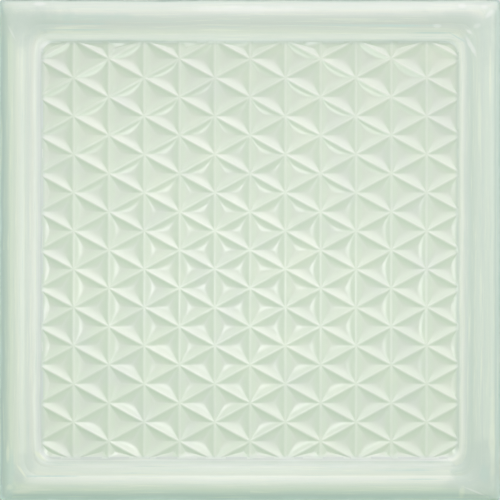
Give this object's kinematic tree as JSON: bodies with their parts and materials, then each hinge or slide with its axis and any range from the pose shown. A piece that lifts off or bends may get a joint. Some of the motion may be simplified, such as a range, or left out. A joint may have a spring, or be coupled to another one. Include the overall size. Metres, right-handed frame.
{
  "type": "ceramic wall tile",
  "caption": "Square glazed ceramic wall tile with a raised bead frame round a panel of sunken pyramids whose ridges meet in stars.",
  "frame": {"origin": "centre of the back, in the plane of the back's ribs", "axes": "+Z out of the glazed face, +Y up on the wall, +X to the right as seen from the front"},
  "size_m": [0.2, 0.2, 0.009],
  "materials": {
    "glaze": "glossy pale green-white glaze on the face"
  },
  "bodies": {
    "root": {"tile": "glaze"}
  },
  "joints": []
}
